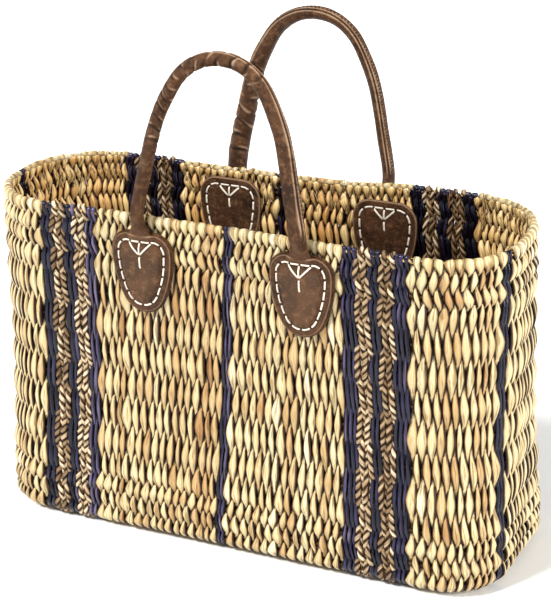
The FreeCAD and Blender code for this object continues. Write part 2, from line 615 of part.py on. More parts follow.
os.makedirs("parts", exist_ok=True)
for thing in nodes:
    thing.Shape.exportStep(f"parts/{thing.Label}.step")
    box = thing.Shape.BoundBox
    print(f"{thing.Label:28s} {len(thing.Shape.Solids):3d} solids {thing.Shape.Volume:10.0f} mm3  "
          f"x {box.XMin:7.1f} {box.XMax:7.1f}  y {box.YMin:6.1f} {box.YMax:6.1f}  z {box.ZMin:6.1f} {box.ZMax:6.1f}")
print(f"{len(nodes)} nodes")
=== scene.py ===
"""Looks of the woven market basket: the strands of the weave, the leather handles and patches.

Metres, in the CAD model's own frame: +X along the basket, the front wall at -Y, the floor at Z 0.
Each upright strand of the weave passes outside one weft cord and inside the next, so it shows as a
lozenge over every other cord, and it folds over the rim cord at the top.
"""
import math

import bpy
import numpy as np
from mathutils import Matrix, Vector


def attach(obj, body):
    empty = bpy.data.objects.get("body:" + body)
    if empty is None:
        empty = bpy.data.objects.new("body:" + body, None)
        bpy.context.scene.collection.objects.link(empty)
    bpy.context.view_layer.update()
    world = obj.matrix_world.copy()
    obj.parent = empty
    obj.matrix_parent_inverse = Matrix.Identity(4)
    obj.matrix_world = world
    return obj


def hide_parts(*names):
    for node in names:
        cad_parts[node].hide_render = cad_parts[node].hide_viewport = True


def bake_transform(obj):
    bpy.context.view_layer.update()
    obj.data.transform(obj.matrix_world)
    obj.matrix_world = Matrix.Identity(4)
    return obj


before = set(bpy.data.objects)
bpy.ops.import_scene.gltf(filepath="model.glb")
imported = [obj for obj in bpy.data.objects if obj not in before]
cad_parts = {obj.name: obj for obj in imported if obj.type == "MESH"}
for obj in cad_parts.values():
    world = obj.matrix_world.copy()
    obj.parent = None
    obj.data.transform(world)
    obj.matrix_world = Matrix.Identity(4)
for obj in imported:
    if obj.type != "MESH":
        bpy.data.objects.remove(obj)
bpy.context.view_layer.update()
random = np.random.default_rng(20)
uniform = random.uniform
MM = 0.001
TAU = 2 * math.pi


# ---- helpers
def smooth(x):
    """A soft step from 0 at 0 to 1 at 1."""
    x = np.clip(x, 0, 1)
    return x * x * (3 - 2 * x)


def hump(x, middle, width):
    """A soft hump of height 1 at its middle."""
    return np.exp(-((x - middle) / width) ** 2)


def averaging(reach, width):
    """Weights of a soft running average."""
    weights = np.exp(-0.5 * (np.arange(-reach, reach + 1) / width) ** 2)
    return weights / weights.sum()


def unit(vectors):
    return vectors / np.maximum(np.linalg.norm(vectors, axis=-1, keepdims=True), 1e-12)


def turned(first, second, angle):
    """The direction at an angle from the first of two square directions towards the second."""
    return first * np.cos(angle) + second * np.sin(angle)


def spokes(start, end, count):
    """Directions at even angles from start to end."""
    return [np.array([math.cos(t), math.sin(t)]) for t in np.linspace(start, end, count + 1)]


def distances(line):
    """How far along a line each of its points is."""
    return np.concatenate([[0], np.cumsum(np.linalg.norm(np.diff(line, axis=0), axis=1))])


def points_at(steps, length, line):
    """The points of a line at steps along it; length is how far its own points are."""
    return np.stack([np.interp(steps, length, column) for column in line.T], axis=-1)


def grid_faces(rings, sides, closed=False):
    """Quads between rings of points; closed joins the last ring to the first."""
    index = np.arange(rings)[:, None] * sides + np.arange(sides)
    after = np.roll(index, -1, axis=1)
    quads = np.stack([index, *np.roll([index, after], -1, axis=1), after], axis=-1)
    return quads[:rings if closed else rings - 1].reshape(-1, 4)


# ---- sizes of the wall, as in the CAD
LEVEL_Z = np.array([0, 16, 140, 300]) * MM
HALF_LENGTH = np.array([236.5, 240.5, 244.5, 243]) * MM
HALF_WIDTH = np.array([87, 91, 80, 80]) * MM
CORNER = np.array([48, 52, 70, 72]) * MM
SHIFT = np.array([4, 4, 0, 0]) * MM  # how far the outline's middle stands to the right
RIM_Z = 300 * MM
WALL = 9 * MM
CORD_Z = [295 * MM]  # height of each weft cord, from the rim down to the bottom edge
for pitch, count in ((15.0, 3), (27.6, 7), (15.0, 3)):
    for _ in range(count):
        CORD_Z.append(CORD_Z[-1] - pitch * MM)
CORD_Z = np.array(CORD_Z)
LAST = len(CORD_Z) - 1

# stripes: the middle of each triple group and of each single one, at the foot and at the rim
LEFT_GROUP, RIGHT_GROUP = (-153 * MM, -145.5 * MM), (144 * MM, 138.5 * MM)
FRONT_MIDDLE, BACK_MIDDLE = (-6 * MM, 8 * MM), (-15 * MM, -15 * MM)
RIGHT_END, LEFT_END = (-50 * MM, -34 * MM), (-4 * MM, -6 * MM)
# across a group of stripes: navy, rope, navy, rope, navy, from its middle
BACK_EDGES = (-28.8, -18.8, -5.0, 5.0, 18.8, 28.8)
GROUP_EDGES = {
    ("front", "right"): (-29.5, -18.0, -5.5, 3.0, 15.0, 27.5),
    ("front", "left"): (-27.5, -18.0, -5.0, 4.5, 16.5, 25.5),
    ("back", "right"): BACK_EDGES,
    ("back", "left"): BACK_EDGES,
}
SINGLE = 6.4 * MM  # width of a single stripe
BLEND_REACH, BLEND_WIDTH = 30, 11.0  # millimetres of height over which two levels blend
SOLE_Z, SOLE_BLEND = 8 * MM, 16 * MM  # the foot keeps its shape up to here, then blends


def smooth_table():
    """The outline's sizes at every millimetre of height, with soft bends between the levels."""
    z = np.arange(-40, 341) * MM
    above_sole = np.clip((z - SOLE_Z) / SOLE_BLEND, 0, 1)
    table = [z]
    for values in (HALF_LENGTH, HALF_WIDTH, CORNER, SHIFT):
        straight = np.interp(z, LEVEL_Z, values)
        soft = np.convolve(np.pad(straight, BLEND_REACH, mode="edge"),
                           averaging(BLEND_REACH, BLEND_WIDTH), mode="valid")
        table.append(straight * (1 - above_sole) + soft * above_sole)
    return table


TABLE = smooth_table()


def profile(z):
    """Half length, half width, corner radius and shift of the wall's outer face at heights z."""
    return tuple(np.interp(z, TABLE[0], column) for column in TABLE[1:])


def perimeter(z):
    a, b, r, _ = profile(z)
    return 4 * (a - r) + 4 * (b - r) + TAU * r


def outline(s, z):
    """Points, outward normals and run directions at distances s round the outer face.

    s starts at the middle of the front and runs towards +X. The back half is the front half turned
    by 180 degrees. A half has five stretches: straight, corner, straight, corner, straight.
    """
    a, b, r, shift = profile(z)
    whole = perimeter(z)
    s = np.mod(s, whole)
    half = np.where(s < whole / 2, s, s - whole / 2)
    turn = np.where(s < whole / 2, 1.0, -1.0)
    lx, ly, arc = a - r, b - r, r * math.pi / 2
    starts = (0 * lx, lx, lx + arc, lx + arc + 2 * ly, lx + 2 * arc + 2 * ly)
    stretch = sum((half >= start).astype(int) for start in starts) - 1
    along = half - np.choose(stretch, starts)
    sin, cos = np.sin(along / r), np.cos(along / r)
    x, y, nx, ny = (np.choose(stretch, values) for values in (
        (along, lx + r * sin, a, lx + r * cos, lx - along),
        (-b, -ly - r * cos, along - ly, ly + r * sin, b),
        (0, sin, 1, cos, 0), (-1, -cos, 0, sin, 1)))
    zeros = np.zeros_like(half)
    points = np.stack([x * turn + shift, y * turn, np.broadcast_to(z, half.shape)], axis=-1)
    normals = np.stack([nx * turn, ny * turn, zeros], axis=-1)
    runs = np.stack([-ny * turn, nx * turn, zeros], axis=-1)
    return points, normals, runs


def around(side, ends, z):
    """Distance round the wall, at heights z, of a stripe edge given at the foot and the rim."""
    a, b, r, shift = profile(z)
    whole = perimeter(z)
    spot = ends[0] + (ends[1] - ends[0]) * z / RIM_Z
    if side == "front":
        return spot - shift
    if side == "back":
        return whole / 2 - (spot - shift)
    depth = np.abs(spot)
    corner = (a - r) + r * np.arccos(np.clip((depth - (b - r)) / r, -1, 1))
    s = np.where(depth > b - r, corner, whole / 4 - depth)
    s = np.where(spot > 0, whole / 2 - s, s)
    return s if side == "right" else whole - s


def settle(points):
    """Lets the handmade rim droop: lower at both ends and between the back handle's feet."""
    x, y, z = points.T
    back = smooth(0.5 + y / (100 * MM))
    front_rise = -0.8 - 1.8 * x / HALF_LENGTH[-1]
    back_rise = (-1.3 * (np.tanh((x + 115 * MM) / (20 * MM)) + 1)
                 + 3.0 * (np.tanh((x - 80 * MM) / (25 * MM)) + 1))
    rise = front_rise * (1 - back) + back_rise * back - 2.2 * (x / HALF_LENGTH[-1]) ** 2
    points[:, 2] += rise * MM * np.clip(z / RIM_Z, 0, 1) ** 2
    return points


# ---- meshes
GIRTH = 4  # the way round a strand, in half widths
OWN_NUMBER = 7.31  # spreads the tones, so that each strand has its own fibres
LOBE_TURN = 60  # radians that a strand's ridges turn in a metre


class Bundle:
    """Many tubes and sheets gathered into one mesh, with what the materials need of each point.

    fibre: distance round a strand, distance along it, and a number of its own. shade: its tone, the
    change of tone along it, and how near the strand's edge is. side: how far the point faces into
    the basket, how far the strand is from its middle depth, and how much paler it is over the rim.
    """

    def __init__(self):
        self.points, self.faces, self.marks, self.count = [], [], [], 0

    def add(self, points, faces, marks):
        self.points.append(np.reshape(points, (-1, 3)))
        self.faces.append(np.reshape(faces, (-1, 4)) + self.count)
        self.marks.append(np.reshape(marks, (-1, 9)))
        self.count += len(self.points[-1])

    def sheet(self, points, faces, wear_and_shading):
        """A leather surface. Its material only needs each point's shade value: painted light and
        shade, with some real paling from use.
        """
        marks = np.zeros((wear_and_shading.size, 9))
        marks[:, 3] = wear_and_shading.ravel()
        self.add(points, faces, marks)

    def tube(self, path, wide, deep, sides, tint, peak=0.0, lobes=(0, 0.0, 0.0), closed=False,
             grain=0.0, pale=0.0):
        """A tube along path; wide and deep are its section's half axes, as vectors at each ring.

        lobes: the number, height and phase of its ridges.
        """
        rings = len(path)
        angle = np.arange(sides) / sides * TAU
        along = distances(path)[:, None]
        count, height, phase = lobes
        swell = 1 + height * np.cos(count * angle + phase + along * LOBE_TURN)
        ring = (path[:, None] + wide[:, None] * (np.cos(angle) * swell)[..., None]
                + deep[:, None] * (np.sin(angle) * swell)[..., None])

        peak, grain, pale = (np.reshape(values, (-1, 1)) for values in (peak, grain, pale))
        girth = np.linalg.norm(wide, axis=1).mean() * GIRTH
        values = (angle / TAU * girth, along, tint * OWN_NUMBER, tint, grain, np.abs(np.cos(angle)),
                  0.5 - 0.5 * np.sin(angle), peak, pale)
        marks = np.stack([np.broadcast_to(value, (rings, sides)) for value in values], axis=-1)
        faces = grid_faces(rings, sides, closed)[:, [0, 3, 2, 1]]
        if closed:
            self.add(ring, faces, marks)
            return
        # each end closes with quads about a middle point
        first = np.arange(0, sides, 2)
        second, third, last = first + 1, (first + 2) % sides, (rings - 1) * sides
        middle = np.full_like(first, rings * sides)
        caps = (np.stack([first, middle, third, second], axis=-1),
                np.stack([first + last, second + last, third + last, middle + 1], axis=-1))

        self.add(np.concatenate([ring.reshape(-1, 3), path[:1], path[-1:]]),
                 np.concatenate([faces, *caps]),
                 np.concatenate([marks.reshape(-1, 9), marks[0, :1], marks[-1, :1]]))

    def build(self, name, material):
        """The finished object, smooth shaded."""
        points, faces = np.concatenate(self.points), np.concatenate(self.faces)
        points[:, 2] = np.maximum(points[:, 2], 0.0)  # pressed flat on what it stands on
        mesh = bpy.data.meshes.new(name)
        mesh.vertices.add(len(points))
        mesh.vertices.foreach_set("co", points.astype(np.float32).ravel())
        mesh.loops.add(faces.size)
        mesh.loops.foreach_set("vertex_index", faces.astype(np.int32).ravel())
        mesh.polygons.add(len(faces))
        mesh.polygons.foreach_set("loop_start", np.arange(len(faces), dtype=np.int32) * 4)
        mesh.polygons.foreach_set("use_smooth", np.ones(len(faces), bool))
        marks = np.hstack([np.concatenate(self.marks), points]).astype(np.float32)
        for i, label in enumerate(("fibre", "shade", "side", "rest")):
            attribute = mesh.attributes.new(label, "FLOAT_VECTOR", "POINT")
            attribute.data.foreach_set("vector", marks[:, 3 * i:3 * i + 3].ravel())
        mesh.update(calc_edges=True)
        mesh.validate()
        mesh.materials.append(material)
        made = bpy.data.objects.new(name, mesh)
        bpy.context.scene.collection.objects.link(made)
        return made


def place(piece, body, slot, *nodes):
    """Hands a piece to its body and hides the CAD nodes that it stands for. The slot is not used.
    """
    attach(piece, body)
    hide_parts(*nodes)


# ---- materials
class Shader:
    """A node tree around one Principled shader."""

    def __init__(self, name, roughness, **sockets):
        self.material = bpy.data.materials.new(name)
        self.material.use_nodes = True
        self.tree = self.material.node_tree
        self.shader = self.tree.nodes["Principled BSDF"]
        self.shader.inputs["Roughness"].default_value = roughness
        for socket, value in sockets.items():
            self.shader.inputs[socket.replace("_", " ")].default_value = value

    def node(self, kind, settings=(), **inputs):
        """A node; inputs are values or other nodes' outputs, by socket name, or number as i0."""
        made = self.tree.nodes.new(f"ShaderNode{kind}")
        for setting, value in dict(settings).items():
            setattr(made, setting, value)
        for socket, value in inputs.items():
            numbered = socket[0] == "i" and socket[1:].isdigit()
            target = made.inputs[int(socket[1:]) if numbered else socket.replace("_", " ")]
            if isinstance(value, bpy.types.NodeSocket):
                self.tree.links.new(value, target)
            else:
                target.default_value = value
        return made

    def attribute(self, name):
        return self.node("Attribute", {"attribute_name": name}).outputs["Vector"]

    def split(self, vector):
        return self.node("SeparateXYZ", Vector=vector).outputs

    def math(self, operation, *values):
        inputs = {f"i{i}": value for i, value in enumerate(values)}
        return self.node("Math", {"operation": operation}, **inputs).outputs[0]

    def product(self, *values):
        return self.math("MULTIPLY", *values)

    def total(self, *values):
        return self.math("ADD", *values)

    def less(self, *values):
        return self.math("SUBTRACT", *values)

    def scaled(self, vector, *factors):
        return self.node("VectorMath", {"operation": "MULTIPLY"}, i0=vector, i1=factors).outputs[0]

    def noise(self, vector, scale, detail=3.0, roughness=0.55):
        return self.node("TexNoise", Vector=vector, Scale=scale, Detail=detail,
                         Roughness=roughness).outputs["Fac"]

    def ramp(self, factor, *stops):
        """A colour ramp; each stop is a position and a linear colour."""
        made = self.node("ValToRGB", Fac=factor)
        elements = made.color_ramp.elements
        while len(elements) < len(stops):
            elements.new(0.5)
        for element, (position, colour) in zip(elements, stops):
            element.position, element.color = position, (*colour, 1)
        return made.outputs["Color"]

    def grey(self, factor, *stops):
        """A ramp of plain values."""
        return self.ramp(factor, *((position, (value,) * 3) for position, value in stops))

    def mix(self, factor, first, second, blend="MIX"):
        settings = {"data_type": "RGBA", "blend_type": blend, "clamp_factor": True}
        return self.node("Mix", settings, i0=factor, i6=first, i7=second).outputs[2]

    def times(self, factor, colour, tint):
        """The colour multiplied by a tint, as far as the factor says."""
        return self.mix(factor, colour, self.mix(1.0, colour, (*tint, 1), "MULTIPLY"))

    def bump(self, height, distance, strength=1.0, under=None):
        made = self.node("Bump", Height=height, Distance=distance, Strength=strength)
        if under:
            self.tree.links.new(under, made.inputs["Normal"])
        return made.outputs["Normal"]

    def finish(self, colour, roughness=None, normal=None):
        for socket, value in (("Base Color", colour), ("Roughness", roughness), ("Normal", normal)):
            if value is not None:
                self.tree.links.new(value, self.shader.inputs[socket])
        return self.material


GRAIN_TONE = 0.20  # how far a change of 1 along a strand moves its tone


def plant_fibre(name, roughness, stops, inside_light_tint, edge_shade_tint, streak, edge=(0.62, 0.97),
                hidden=1.0, gloss=0.3, gloss_tint=(1.0, 1.0, 1.0, 1.0)):
    """Dried plant strands: a tone for each out of the stops, fine fibres, and dark edges of painted
    shade.

    The tint for the side that faces into the basket is painted light and shade of the basket's
    inside. edge says where across a strand its dark edge tint, painted shade, starts and is full.
    streak is how strong the fibres are, and hidden how much darker, as painted shade, a strand is
    behind its neighbours.
    """
    shader = Shader(name, roughness, Specular_IOR_Level=gloss, Specular_Tint=gloss_tint)
    grey, times, product = shader.grey, shader.times, shader.product
    fibre = shader.attribute("fibre")
    tint, grain, lateral = shader.split(shader.attribute("shade"))[:3]
    inward, wave, pale = shader.split(shader.attribute("side"))[:3]
    colour = shader.ramp(shader.total(tint, product(grain, GRAIN_TONE)), *stops)
    fine = shader.noise(shader.scaled(fibre, 3000, 70, 1), 1.0, 4.0)
    broad = shader.noise(shader.scaled(fibre, 700, 45, 1), 1.0, 2.0)
    crease = grey(broad, (0.34, 1.0), (0.44, 0.0))
    streaks = product(grey(fine, (0.36, 1.0), (0.60, 0.0)), streak)
    warmth = product(grey(broad, (0.5, 0.0), (0.72, 1.0)), 0.35)
    colour = times(streaks, colour, (0.62, 0.50, 0.36))
    # the creases are darker too: painted shade in them
    colour = times(product(crease, 0.75), colour, (0.45, 0.31, 0.17))
    colour = times(warmth, colour, (1.0, 0.80, 0.52))
    # painted light and shade on the side of a strand that faces into the basket
    colour = times(grey(inward, (0.5, 0.0), (0.62, 1.0)), colour, inside_light_tint)
    # painted shade: the flank of a strand is browner, more so near its tips
    tip = shader.less(1.0, shader.math("ABSOLUTE", wave))
    flank = shader.total(lateral, product(tip, 0.22))
    flank_shade = grey(flank, (edge[0] - 0.30, 0.0), (edge[0] + 0.04, 1.0))
    colour = times(flank_shade, colour, (0.82, 0.72, 0.58))
    # painted shade at a strand's edges and where it passes behind its neighbours; less of it over
    # the rim, where the strand is paler
    rim = grey(flank, (edge[0], 0.0), (edge[1], 1.0))
    facing = shader.less(product(inward, 2.0), 1.0)
    behind = grey(product(facing, wave), (0.30, 0.0), (0.75, hidden))
    edge_shade_kept = shader.less(1.0, product(pale, 0.6))
    colour = times(product(shader.math("MAXIMUM", rim, behind), edge_shade_kept), colour, edge_shade_tint)
    rough = shader.total(roughness - 0.08, product(fine, 0.22))
    normal = shader.bump(fine, 0.25 * MM, 0.8, shader.bump(crease, -0.6 * MM, 0.8))
    return shader.finish(colour, rough, normal)


def leather_material():
    """Waxed brown leather: grain, creases, paler high spots, dark edges and stitch grooves. The
    high spots and grooves are painted highlights and painted shade, with some real paling from use.
    """
    shader = Shader("leather", 0.45, Specular_IOR_Level=0.30, Specular_Tint=(1.0, 0.80, 0.62, 1))
    grey, times, product = shader.grey, shader.times, shader.product
    rest = shader.attribute("rest")
    wear_and_shading = shader.split(shader.attribute("shade"))[0]
    cells = shader.node("TexVoronoi", {"feature": "DISTANCE_TO_EDGE"}, Vector=rest, Scale=900.0)
    grain = grey(cells.outputs["Distance"], (0.0, 0.0), (0.22, 1.0))
    broad = shader.noise(rest, 34.0, 4.0)
    crease = shader.noise(rest, 190.0, 6.0, 0.75)
    colour = shader.ramp(broad, (0.30, (0.022, 0.007, 0.0025)), (0.50, (0.056, 0.021, 0.008)),
                         (0.72, (0.118, 0.050, 0.020)))
    # paler on the raised crease peaks: painted highlights
    colour = shader.mix(grey(crease, (0.50, 0.0), (0.66, 0.75)), colour, (0.22, 0.105, 0.048, 1))
    colour = times(product(shader.less(1.0, grain), 0.5), colour, (0.42, 0.36, 0.32))
    # paler where the shade value is high and darker where it is low: painted highlights and painted
    # shade
    colour = shader.mix(grey(wear_and_shading, (0.55, 0.0), (0.98, 0.90)), colour, (0.42, 0.275, 0.175, 1))
    colour = times(grey(wear_and_shading, (0.05, 1.0), (0.5, 0.0)), colour, (0.16, 0.11, 0.08))
    rough = shader.total(0.28, product(crease, 0.28))
    normal = shader.bump(grain, 0.2 * MM, 0.7, shader.bump(crease, 2.6 * MM, 0.9))
    return shader.finish(colour, rough, normal)


def thread_material():
    """Waxed cream thread, with the lines of its plies, darker in the grooves between them as
    painted shade.
    """
    shader = Shader("waxed_thread", 0.5)
    round_it, along = shader.split(shader.attribute("fibre"))[:2]
    turns = shader.total(shader.product(along, 5200.0), shader.product(round_it, 2200.0))
    ply = shader.math("SINE", turns)
    # darker in the grooves between the plies: painted shade
    colour = shader.mix(shader.product(shader.total(ply, 1.0), 0.5), (0.62, 0.52, 0.40, 1),
                        (0.90, 0.85, 0.76, 1))
    return shader.finish(colour, None, shader.bump(ply, 0.15 * MM, 0.7))


STRAW = plant_fibre(  # its first stop is only for the dark strands behind the joins, which are painted shade in the gaps
    "straw", 0.42,
    ((0.0, (0.05, 0.028, 0.012)), (0.02, (0.42, 0.25, 0.105)), (0.16, (0.55, 0.39, 0.19)),
     (0.40, (0.65, 0.54, 0.31)), (0.66, (0.75, 0.67, 0.42)), (0.82, (0.65, 0.60, 0.38)),
     (1.0, (0.86, 0.81, 0.61))),
    inside_light_tint=(1.22, 1.06, 0.86), edge_shade_tint=(0.06, 0.025, 0.008), streak=0.9, edge=(0.60, 0.83))
NAVY_STRAW = plant_fibre(
    "navy_straw", 0.24,
    ((0.0, (0.001, 0.001, 0.008)), (0.40, (0.007, 0.007, 0.038)), (0.72, (0.025, 0.020, 0.095)),
     (1.0, (0.15, 0.13, 0.28))),
    inside_light_tint=(0.5, 0.5, 0.6), edge_shade_tint=(0.02, 0.02, 0.04), streak=0.9, edge=(0.40, 0.70),
    hidden=0.5, gloss=0.5, gloss_tint=(0.80, 0.80, 1.0, 1.0))
ROPE = plant_fibre(
    "straw_rope", 0.5,
    ((0.0, (0.24, 0.16, 0.09)), (0.4, (0.48, 0.38, 0.25)), (1.0, (0.84, 0.75, 0.58))),
    inside_light_tint=(0.70, 0.50, 0.34), edge_shade_tint=(0.05, 0.025, 0.015), streak=1.0, edge=(0.66, 0.93),
    hidden=0.0)
CORD = plant_fibre(
    "weft_cord", 0.7,
    ((0.0, (0.030, 0.015, 0.008)), (0.5, (0.075, 0.038, 0.018)), (1.0, (0.14, 0.075, 0.035))),
    inside_light_tint=(1, 1, 1), edge_shade_tint=(0.5, 0.5, 0.5), streak=0.5)
LEATHER, THREAD = leather_material(), thread_material()


# ---- strands of the wall
RINGS = 10  # rings of a strand between one cord and the next
FOLD_RINGS = 9  # rings over the rim and down the other side
TUCK_RINGS = 6  # rings round the bottom edge
UNDER_REACH, UNDER_Z = 9 * MM, 2.4 * MM  # how far a strand's foot goes in under the base
SIDES = 12  # points round a strand of straw
KINDS = {  # in mm: half widths over and between cords, half thickness, swing, spacing, margin
    "straw": {"wide": 4.55, "narrow": 2.3, "thick": 1.75, "lift": 2.4, "pitch": 4.0, "margin": 0.9,
              "lobes": (3, 0.08), "spread": 0.20, "filler": 0.25, "material": STRAW,
              "slot": "straw"},
    "navy": {"wide": 2.3, "narrow": 1.9, "thick": 1.55, "lift": 1.6, "pitch": 2.5, "margin": -0.5,
             "lobes": (4, 0.16), "spread": 0.08, "filler": 0.32, "material": NAVY_STRAW,
             "slot": "navy_straw"},
    "rope": {"lift": 1.5, "pitch": 3.45, "margin": -0.5, "spread": 0.0, "filler": 0.32,
             "material": ROPE, "slot": "straw_rope"},
}
ROPES = 4  # ropes side by side in a rope stripe
ROPE_STEP, ROPE_TURN = 1.2 * MM, 14.5 * MM  # between rings, and a whole turn of the plies
CORDS = np.arange(LAST + 1)


def waves(count, low, high):
    """A smooth random function of the distance round the wall: sines with random phases."""
    rates = uniform(low, high, count)
    phases = uniform(0, TAU, count)
    return lambda s: sum(np.sin(s * rate + phase)
                         for rate, phase in zip(rates, phases)) / math.sqrt(count)


row_wander = [waves(4, 15, 90) for _ in CORDS]


def strand_line(low, high, share, phase, lift):
    """One strand's centre line from the base to past the rim, with its run directions.

    low and high give the stave's edges at a height, and share the strand's place between them.
    phase is 1 for a strand outside the rim cord and -1 for one inside it. Also given for each
    ring: the cord it is at, counted down from the rim, and its swing from -1 to 1.
    """
    index = LAST - np.arange(LAST * RINGS + 1) / RINGS
    z = np.interp(index, CORDS, CORD_Z)
    wave = np.cos(math.pi * index)
    wave = phase * np.sign(wave) * np.abs(wave) ** 0.9
    # over the rim cord: the outside strands cover it and come down inside, the others stop short
    fold = np.linspace(0, 1, FOLD_RINGS + 1)[1:] * math.radians(170 if phase > 0 else 60)
    rise = (3.3 + uniform(-0.25, 0.35) if phase > 0 else 1.0) * MM
    # round the bottom edge and in under the base
    tuck = np.linspace(1, 0, TUCK_RINGS + 1)[:-1]
    out = np.concatenate([lift * wave[0] * (1 - tuck) - UNDER_REACH * tuck ** 1.5, lift * wave,
                          phase * lift * np.cos(fold)])
    z = np.concatenate([z[0] + (UNDER_Z - z[0]) * np.sin(tuck * math.pi / 2), z,
                        CORD_Z[0] + rise * np.sin(fold)])
    index = np.concatenate([LAST + tuck, index, np.zeros(FOLD_RINGS)])
    wave = np.concatenate([wave[0] * (1 - tuck), wave, phase * np.cos(fold)])
    s = low(z) + share * (high(z) - low(z))
    wander = np.interp(index, CORDS, [row_wander[k](s[np.argmin(abs(index - k))]) for k in CORDS])
    steady = np.clip(z / (30 * MM), 0, 1) * np.clip((RIM_Z - z) / (20 * MM), 0.3, 1)
    points, normals, runs = outline(s, z)
    points = points + normals * (out - WALL / 2)[:, None]
    points[:, 2] += 0.9 * MM * wander * steady
    # both phases sway together, more so in the short rows, and each grain leans a little
    sway = np.interp(index, (0, 1, 2.5, 3.5, LAST - 3, LAST - 2),
                     (0.6, 1.2, 1.2, 0.5, 0.5, 0.9)) * MM
    points += runs * ((sway + 0.3 * MM * phase) * np.sin(math.pi * index))[:, None]
    return settle(points), runs, index, wave


def per_grain(index, spread):
    """A random value for each half wave of a strand, changing smoothly from one to the next."""
    values = random.normal(0, spread, LAST + 3)
    return np.interp(index, np.arange(LAST + 3), values)


def flat_strand(bundle, kind, low, high, share, phase, tint, width):
    """One strand of straw: a flattened tube, wide over its own cords and narrow between them."""
    shape = KINDS[kind]
    lift = shape["lift"] * MM * width ** 0.4
    line, runs, index, wave = strand_line(low, high, share, phase, lift)
    apart = np.abs(index - np.round(index)) * 2  # 0 over a cord, 1 half way to the next
    swell = 1.06 - np.sqrt((apart * 0.98) ** 2 + 0.02)
    swell[-FOLD_RINGS:] = np.linspace(1.0, 0.7 if phase > 0 else 0.2, FOLD_RINGS)
    swell[:TUCK_RINGS] = np.linspace(0.2, 0.6, TUCK_RINGS)
    wide = (shape["narrow"] + (shape["wide"] - shape["narrow"]) * swell) * MM
    wide *= width * (1 + per_grain(index, 0.08))
    thick = shape["thick"] * MM * (0.72 + 0.28 * swell)
    thick = thick * (1 + per_grain(index, 0.06)) * width ** 0.3
    thick *= 1 - 0.28 * np.clip(1 - index / 0.25, 0, 1)  # pressed flat over the rim
    line = line + runs * (per_grain(index, 0.06 * shape["pitch"]) * MM)[:, None]
    outward = unit(np.cross(runs, unit(np.gradient(line, axis=0))))
    turn = per_grain(index, 0.16)[:, None]
    across, deep = turned(runs, outward, turn), turned(outward, -runs, turn)
    lobes = (*shape["lobes"], uniform(0, TAU))
    pale = np.where(index < 0.3, 1 - index / 0.3, 0)  # paler over the rim, with less painted edge shade there
    grain = np.maximum(per_grain(index, 0.6) + 0.8 * pale, (0.03 - tint) / GRAIN_TONE)
    bundle.tube(line, across * wide[:, None], deep * thick[:, None], SIDES, tint, wave, lobes,
                grain=grain, pale=pale)


def rope_strand(bundle, low, high, share, phase, tint, width):
    """One twisted rope: two plies wound round a strand's line."""
    line, runs, _, wave = strand_line(low, high, share, phase, KINDS["rope"]["lift"] * MM)
    length = distances(line)
    steps = np.arange(0, length[-1], ROPE_STEP)
    line, runs = points_at(steps, length, line), unit(points_at(steps, length, runs))
    wave = np.interp(steps, length, wave)
    drift = np.sin(steps * uniform(55, 90) + uniform(0, TAU))
    line = line + runs * (0.8 * MM * drift)[:, None]
    outward = unit(np.cross(runs, unit(np.gradient(line, axis=0))))
    twist = (steps / ROPE_TURN * TAU + 0.9 * np.sin(steps * uniform(50, 110))
             + uniform(0, TAU)) * phase
    fat = 1 + 0.16 * np.sin(steps * 230 + uniform(0, TAU))
    fat *= 0.9 + 0.1 * wave
    # the rope's heart, in the darkest rope tone: painted shade between the plies
    bundle.tube(line, runs * 2.0 * MM * width, outward * 1.1 * MM * width, 6, 0.0, 1.0)
    for ply in (0, math.pi):
        lean = turned(runs, outward, (twist + ply)[:, None])
        path = line + lean * (1.3 * MM * width * fat)[:, None]
        side = unit(np.cross(unit(np.gradient(path, axis=0)), lean))
        lump = (1 + 0.22 * np.sin(twist + ply)
                + 0.08 * np.sin(steps * 410 + uniform(0, TAU)))[:, None]
        bundle.tube(path, side * lump * (1.7 * MM * width), lean * lump * (1.35 * MM * width), 8,
                    float(np.clip(tint + random.normal(0, 0.3), 0, 1)), 1.0,
                    (4, 0.18, uniform(0, TAU)), grain=np.sin(steps * 500 + ply) * 0.8)


def filler(bundle, low, high, share, half_width):
    """A straight dark strand in the middle of the wall, behind the join of two narrow ones. Its
    dark tone is painted shade in the gap.
    """
    z = np.linspace(6 * MM, RIM_Z - 5 * MM, 24)
    points, normals, runs = outline(low(z) + share * (high(z) - low(z)), z)
    points = settle(points - normals * WALL / 2)
    bundle.tube(points, runs * half_width, -normals * 0.8 * MM, 6, 0.0)


def loose_fibre(bundle, low, high, share):
    """A thin end of straw that stands loose from the wall's inner side, near the rim."""
    reach = uniform(6, 20) * MM
    height = np.linspace(0, 1, 7)
    z = uniform(268, 298) * MM + reach * (height - 0.4) * uniform(0.4, 1.0)
    z = np.minimum(z, 304 * MM)
    sway = uniform(-4, 4) * MM * height ** 1.5
    lean = uniform(-0.5, 2.5) * MM * height
    s = low(z) + share * (high(z) - low(z)) + sway
    points, normals, runs = outline(s, z)
    points = settle(points - normals * (WALL - 0.3 * MM + lean)[:, None])
    thin = (uniform(0.35, 0.8) * (1 - 0.7 * height) * MM)[:, None]
    bundle.tube(points, runs * thin, normals * thin * 0.5, 4, uniform(0.6, 1.0))


PALE_NODES = ("straw_corner_back_right", "straw_corner_front_left")  # the palest straw
RANKS = (("navy", "inner"), ("rope", "inner"), ("navy", "middle"), ("rope", "outer"),
         ("navy", "outer"))


def shifted(pair, offset):
    return tuple(value + offset for value in pair)


